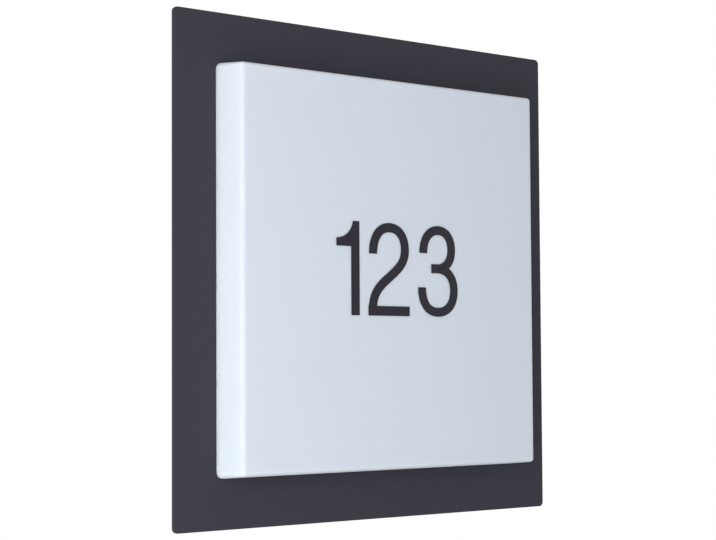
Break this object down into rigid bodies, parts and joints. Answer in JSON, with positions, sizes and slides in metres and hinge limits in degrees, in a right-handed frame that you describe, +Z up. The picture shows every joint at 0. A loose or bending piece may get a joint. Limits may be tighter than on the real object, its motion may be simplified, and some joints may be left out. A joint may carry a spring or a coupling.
{
  "type": "outdoor wall light",
  "caption": "Square outdoor wall light: flat dark back plate, shallow opal box cover over LED strips, rear housing that hooks on a wall bracket.",
  "frame": {"origin": "on the wall plane, at the middle of the back plate, which is the middle of the wall bracket's screw pattern", "axes": "+X to the right and +Z up as seen from the front, +Y into the wall; the light faces -Y"},
  "size_m": [0.3, 0.047, 0.3],
  "materials": {
    "zinc_steel": "zinc-plated sheet and nuts",
    "black_plastic": "fine-grained moulded plastic",
    "foam_rubber": "matt foam seal",
    "anthracite_coating": "matt powder coat, fine texture",
    "stainless_steel": "plain stainless",
    "black_rubber": "smooth rubber",
    "terminal_plastic": "off-white moulding",
    "brass_parts": "plain turned brass",
    "driver_case": "white moulded case",
    "brown_insulation": "smooth insulation",
    "blue_insulation": "smooth insulation",
    "green_insulation": "smooth insulation",
    "red_insulation": "smooth insulation",
    "white_tray": "white moulding",
    "circuit_board": "white solder mask",
    "led_phosphor": "yellow phosphor",
    "clear_lens": "clear polished plastic",
    "white_film": "diffuse white film",
    "opal_cover": "satin opal plastic"
  },
  "bodies": {
    "bracket": {"wall_bracket": "zinc_steel", "lock_nut": "zinc_steel"},
    "light": {"hanger_plate": "zinc_steel", "rear_housing": "black_plastic", "wall_seal": "foam_rubber", "back_plate": "anthracite_coating", "assembly_screws": "stainless_steel", "cable_grommet": "black_rubber", "terminal_block": "terminal_plastic", "terminal_screws": "brass_parts", "block_screws": "stainless_steel", "led_driver": "driver_case", "driver_screws": "stainless_steel", "live_lead": "brown_insulation", "neutral_lead": "blue_insulation", "earth_lead": "green_insulation", "earth_stud": "stainless_steel", "earth_nut": "zinc_steel", "led_leads": "red_insulation", "lead_grommet": "black_rubber", "light_tray": "white_tray", "screw_inserts": "brass_parts", "cover_seal": "foam_rubber", "led_strip_1": "circuit_board", "led_strip_2": "circuit_board", "led_strip_3": "circuit_board", "led_strip_4": "circuit_board", "led_chips": "led_phosphor", "led_lenses_1": "clear_lens", "led_lenses_2": "clear_lens", "led_lenses_3": "clear_lens", "led_lenses_4": "clear_lens", "strip_rivets": "white_tray", "strip_jumpers": "red_insulation", "strip_socket": "terminal_plastic", "reflector_film": "white_film"},
    "cover": {"diffuser_cover": "opal_cover"},
    "left_washer": {"cover_washer_left": "black_rubber"},
    "left_screw": {"cover_screw_left": "stainless_steel"},
    "right_washer": {"cover_washer_right": "black_rubber"},
    "right_screw": {"cover_screw_right": "stainless_steel"},
    "lock_washer": {"lock_washer": "black_rubber"},
    "lock_screw": {"lock_screw": "stainless_steel"}
  },
  "joints": [
    {"name": "light_lifts_off_hooks", "type": "slide", "parent": "bracket", "child": "light", "axis": [0, 0, 1], "range_m": [0, 0.007]},
    {"name": "cover_tilts_out", "type": "hinge", "parent": "light", "child": "cover", "pos_m": [0, -0.0243, 0.1205], "axis": [-1, 0, 0], "range_deg": [0, 35]},
    {"name": "left_screw_backs_out", "type": "slide", "parent": "light", "child": "left_washer", "axis": [0, 0, -1], "range_m": [0, 0.007]},
    {"name": "left_screw_turns", "type": "hinge", "parent": "left_washer", "child": "left_screw", "pos_m": [-0.07, -0.0305, -0.119], "axis": [0, 0, -1], "range_deg": [0, 5040]},
    {"name": "right_screw_backs_out", "type": "slide", "parent": "light", "child": "right_washer", "axis": [0, 0, -1], "range_m": [0, 0.007]},
    {"name": "right_screw_turns", "type": "hinge", "parent": "right_washer", "child": "right_screw", "pos_m": [0.07, -0.0305, -0.119], "axis": [0, 0, -1], "range_deg": [0, 5040]},
    {"name": "lock_screw_backs_out", "type": "slide", "parent": "light", "child": "lock_washer", "axis": [0, 0, -1], "range_m": [0, 0.007]},
    {"name": "lock_screw_turns", "type": "hinge", "parent": "lock_washer", "child": "lock_screw", "pos_m": [0, -0.011, -0.086], "axis": [0, 0, -1], "range_deg": [0, 3600]}
  ],
  "couplings": [
    {"joint": "left_screw_turns", "follows": "left_screw_backs_out", "rad_per_m": 12566},
    {"joint": "right_screw_turns", "follows": "right_screw_backs_out", "rad_per_m": 12566},
    {"joint": "lock_screw_turns", "follows": "lock_screw_backs_out", "rad_per_m": 8976}
  ]
}
